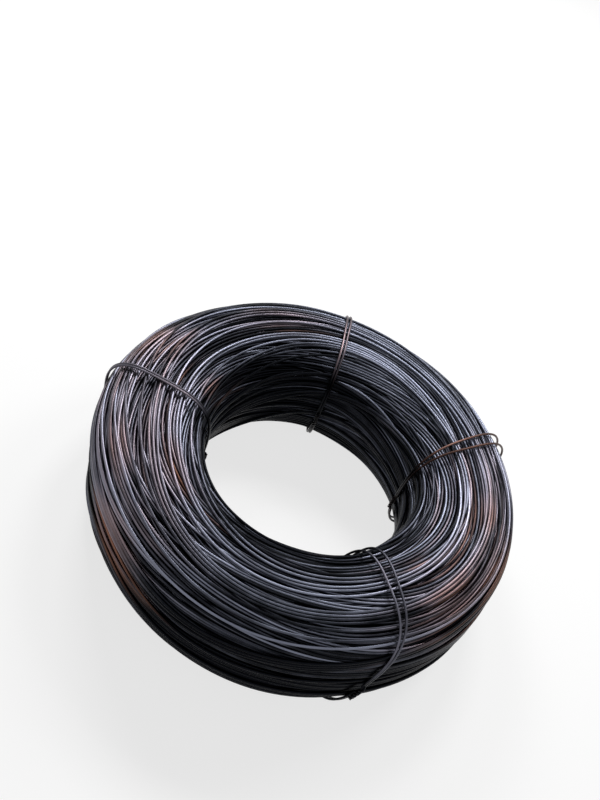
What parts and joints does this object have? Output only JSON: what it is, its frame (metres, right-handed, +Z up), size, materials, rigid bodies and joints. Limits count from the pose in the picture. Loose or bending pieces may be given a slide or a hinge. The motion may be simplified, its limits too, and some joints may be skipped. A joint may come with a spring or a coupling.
{
  "type": "coil of black annealed steel wire",
  "caption": "Thick round coil of dark annealed steel wire lying flat, wound round an open bore and held by doubled wire ties.",
  "frame": {"origin": "on the coil's axis, at the level of the ties' undersides that it stands on", "axes": "+Z up along the coil's axis, +X to the right and +Y to the back as the picture looks at it"},
  "size_m": [0.5184, 0.5155, 0.1536],
  "materials": {
    "coil_wire": "black annealed, smooth, with light rust",
    "tie_wire": "black annealed",
    "tie_wire_rusty": "black annealed, browned by rust"
  },
  "bodies": {
    "root": {"wire_coil": "coil_wire", "tie_front": "tie_wire", "tie_right": "tie_wire_rusty", "tie_back": "tie_wire", "tie_left": "tie_wire"}
  },
  "joints": []
}
